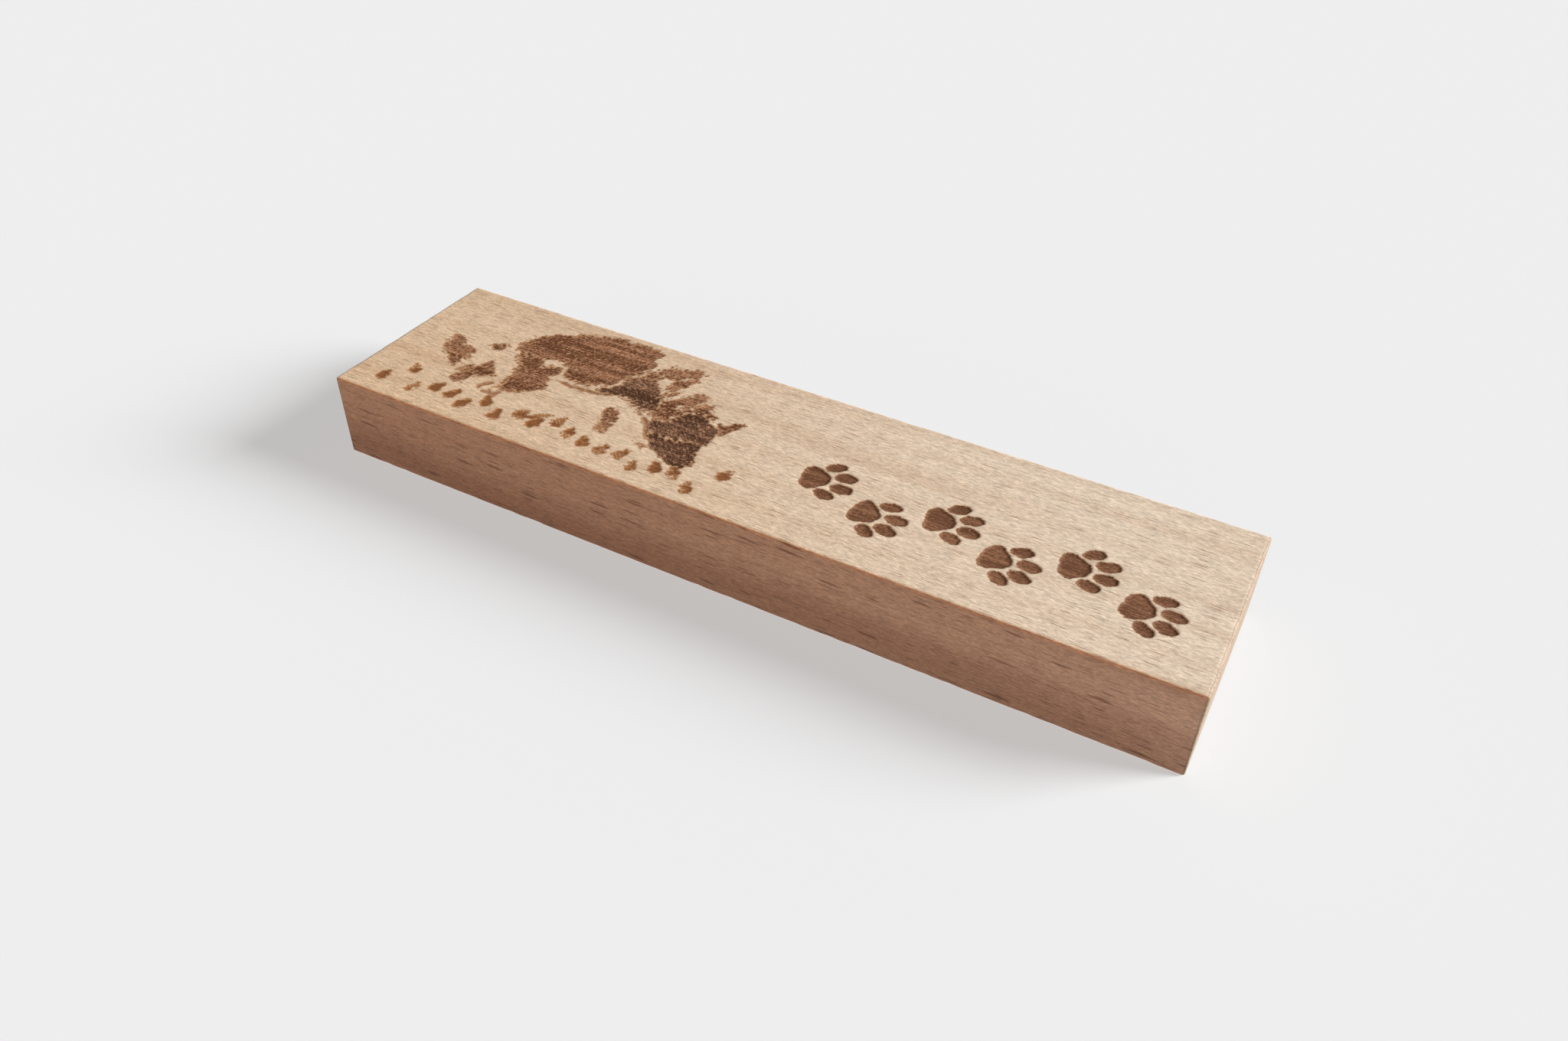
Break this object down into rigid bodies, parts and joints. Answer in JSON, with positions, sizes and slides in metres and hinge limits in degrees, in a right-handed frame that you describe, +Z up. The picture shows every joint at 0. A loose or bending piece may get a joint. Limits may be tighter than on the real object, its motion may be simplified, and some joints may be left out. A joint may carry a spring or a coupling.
{
  "type": "engraved wooden plaque",
  "caption": "Small solid beech bar with eased edges; its top face carries a burnt-in sniffing dog above fallen leaves, and a trail of paw prints.",
  "frame": {"origin": "middle of the underside, the face that the plaque lies on", "axes": "+X along the grain and the picture's reading direction, +Y from the front edge to the back edge, +Z up out of the engraved face"},
  "size_m": [0.1, 0.025, 0.0103],
  "materials": {
    "bare_beech": "fine sanded, bare steamed beech with pores and ray flecks",
    "charred_picture": "matt laser char with raster lines and ragged, stippled edges",
    "charred_lines": "thin, broken laser char",
    "scorched_leaves": "lightly scorched, reddish brown, hatched",
    "charred_prints": "deep laser char with raster lines"
  },
  "bodies": {
    "root": {"beech_block": "bare_beech", "dog_tail": "charred_picture", "dog_back": "charred_picture", "dog_haunch": "charred_picture", "dog_hind_leg": "charred_picture", "dog_neck": "charred_picture", "dog_shoulder": "charred_picture", "dog_foreleg": "charred_picture", "dog_face": "charred_picture", "dog_muzzle": "charred_picture", "dog_near_ear": "charred_picture", "dog_far_ear": "charred_picture", "dog_outline": "charred_lines", "leaf_litter": "scorched_leaves", "paw_print_1": "charred_prints", "paw_print_2": "charred_prints", "paw_print_3": "charred_prints", "paw_print_4": "charred_prints", "paw_print_5": "charred_prints", "paw_print_6": "charred_prints"}
  },
  "joints": []
}
